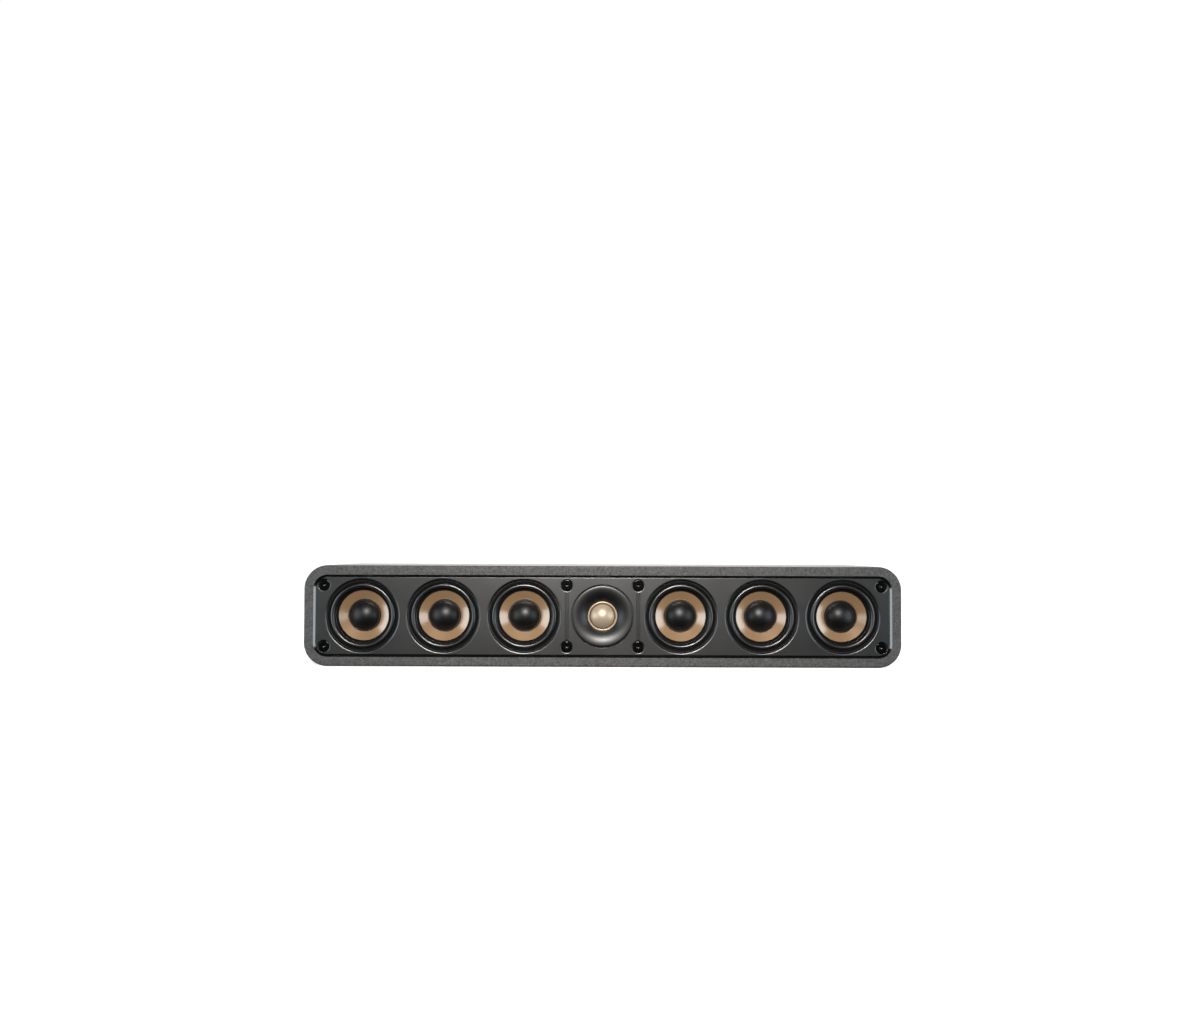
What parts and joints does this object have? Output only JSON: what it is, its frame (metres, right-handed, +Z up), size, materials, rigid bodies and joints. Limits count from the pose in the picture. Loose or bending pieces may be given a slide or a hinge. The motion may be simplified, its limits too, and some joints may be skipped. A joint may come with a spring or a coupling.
{
  "type": "center channel speaker",
  "caption": "Slim wide center channel loudspeaker: rounded black cabinet, small champagne-coned woofers in a row either side of a dome tweeter, rear terminals and ports",
  "frame": {"origin": "bottom center of the overall box, on the surface the speaker stands on", "axes": "+X to the right seen from the front, -Y towards the listener, +Z up"},
  "size_m": [0.61, 0.154, 0.103],
  "materials": {
    "cabinet_wrap": "black vinyl wrap on fibreboard",
    "board": "bare fibreboard",
    "rear_paint": "black painted fibreboard",
    "frame_texture": "dark grey, finely textured, bevel in satin black",
    "panel_satin": "satin black moulding",
    "black_hardware": "black screws",
    "surround_rubber": "black rubber",
    "cone_metal": "champagne, fine concentric grain",
    "cap_black": "satin black dome",
    "winding_copper": "enamelled copper wire",
    "spider_cloth": "resin-dipped cloth",
    "basket_paint": "black painted pressing",
    "motor_steel": "zinc-plated steel",
    "magnet_ferrite": "sintered ferrite",
    "faceplate_black": "satin black flare",
    "dome_metal": "champagne dome",
    "cup_black": "black moulding",
    "post_gold": "gold-plated brass",
    "cap_red": "red",
    "hanger_steel": "zinc-plated steel",
    "circuit_board": "green board",
    "film_capacitor": "yellow film cans"
  },
  "bodies": {
    "cabinet": {"cabinet_sleeve": "cabinet_wrap", "front_bezel": "frame_texture", "sub_baffle": "board", "rear_panel": "rear_paint", "cabinet_braces": "board", "left_panel": "panel_satin", "center_panel": "panel_satin", "right_panel": "panel_satin", "panel_screws": "black_hardware", "woofer_screws": "black_hardware", "woofer_spiders": "spider_cloth", "motor_top_plates": "motor_steel", "motor_magnets": "magnet_ferrite", "motor_yokes": "motor_steel", "tweeter_faceplate": "faceplate_black", "tweeter_dome": "dome_metal", "tweeter_voice_coil": "winding_copper", "terminal_cup": "cup_black", "binding_posts": "post_gold", "reflex_ports": "cup_black", "keyhole_plates": "hanger_steel", "wood_screws": "black_hardware", "crossover_board": "circuit_board", "crossover_coils": "winding_copper", "crossover_capacitors": "film_capacitor", "woofer_1_basket": "basket_paint", "woofer_1_surround": "surround_rubber", "woofer_2_basket": "basket_paint", "woofer_2_surround": "surround_rubber", "woofer_3_basket": "basket_paint", "woofer_3_surround": "surround_rubber", "woofer_4_basket": "basket_paint", "woofer_4_surround": "surround_rubber", "woofer_5_basket": "basket_paint", "woofer_5_surround": "surround_rubber", "woofer_6_basket": "basket_paint", "woofer_6_surround": "surround_rubber"},
    "woofer_1": {"woofer_1_cone": "cone_metal", "woofer_1_dust_cap": "cap_black", "woofer_1_voice_coil": "winding_copper"},
    "woofer_2": {"woofer_2_cone": "cone_metal", "woofer_2_dust_cap": "cap_black", "woofer_2_voice_coil": "winding_copper"},
    "woofer_3": {"woofer_3_cone": "cone_metal", "woofer_3_dust_cap": "cap_black", "woofer_3_voice_coil": "winding_copper"},
    "woofer_4": {"woofer_4_cone": "cone_metal", "woofer_4_dust_cap": "cap_black", "woofer_4_voice_coil": "winding_copper"},
    "woofer_5": {"woofer_5_cone": "cone_metal", "woofer_5_dust_cap": "cap_black", "woofer_5_voice_coil": "winding_copper"},
    "woofer_6": {"woofer_6_cone": "cone_metal", "woofer_6_dust_cap": "cap_black", "woofer_6_voice_coil": "winding_copper"},
    "black_washer": {"black_clamp_washer": "post_gold"},
    "black_grip": {"black_cap": "cap_black"},
    "red_washer": {"red_clamp_washer": "post_gold"},
    "red_grip": {"red_cap": "cap_red"}
  },
  "joints": [
    {"name": "woofer_1_stroke", "type": "slide", "parent": "cabinet", "child": "woofer_1", "axis": [0, -1, 0], "range_m": [-0.002, 0.002], "stiffness_N_per_m": 1000, "deforming": ["woofer_1_surround", "woofer_spiders"]},
    {"name": "woofer_2_stroke", "type": "slide", "parent": "cabinet", "child": "woofer_2", "axis": [0, -1, 0], "range_m": [-0.002, 0.002], "stiffness_N_per_m": 1000, "deforming": ["woofer_2_surround"]},
    {"name": "woofer_3_stroke", "type": "slide", "parent": "cabinet", "child": "woofer_3", "axis": [0, -1, 0], "range_m": [-0.002, 0.002], "stiffness_N_per_m": 1000, "deforming": ["woofer_3_surround"]},
    {"name": "woofer_4_stroke", "type": "slide", "parent": "cabinet", "child": "woofer_4", "axis": [0, -1, 0], "range_m": [-0.002, 0.002], "stiffness_N_per_m": 1000, "deforming": ["woofer_4_surround"]},
    {"name": "woofer_5_stroke", "type": "slide", "parent": "cabinet", "child": "woofer_5", "axis": [0, -1, 0], "range_m": [-0.002, 0.002], "stiffness_N_per_m": 1000, "deforming": ["woofer_5_surround"]},
    {"name": "woofer_6_stroke", "type": "slide", "parent": "cabinet", "child": "woofer_6", "axis": [0, -1, 0], "range_m": [-0.002, 0.002], "stiffness_N_per_m": 1000, "deforming": ["woofer_6_surround"]},
    {"name": "black_cap_lift", "type": "slide", "parent": "cabinet", "child": "black_washer", "axis": [0, 1, 0], "range_m": [0, 0.00501]},
    {"name": "black_cap_turn", "type": "hinge", "parent": "black_washer", "child": "black_grip", "pos_m": [-0.0095, 0.06, 0.0515], "axis": [0, 1, 0], "range_deg": [0, 1800]},
    {"name": "red_cap_lift", "type": "slide", "parent": "cabinet", "child": "red_washer", "axis": [0, 1, 0], "range_m": [0, 0.00501]},
    {"name": "red_cap_turn", "type": "hinge", "parent": "red_washer", "child": "red_grip", "pos_m": [0.0095, 0.06, 0.0515], "axis": [0, 1, 0], "range_deg": [0, 1800]}
  ],
  "couplings": [
    {"joint": "black_cap_lift", "follows": "black_cap_turn", "m_per_rad": 0.00015915},
    {"joint": "red_cap_lift", "follows": "red_cap_turn", "m_per_rad": 0.00015915}
  ]
}
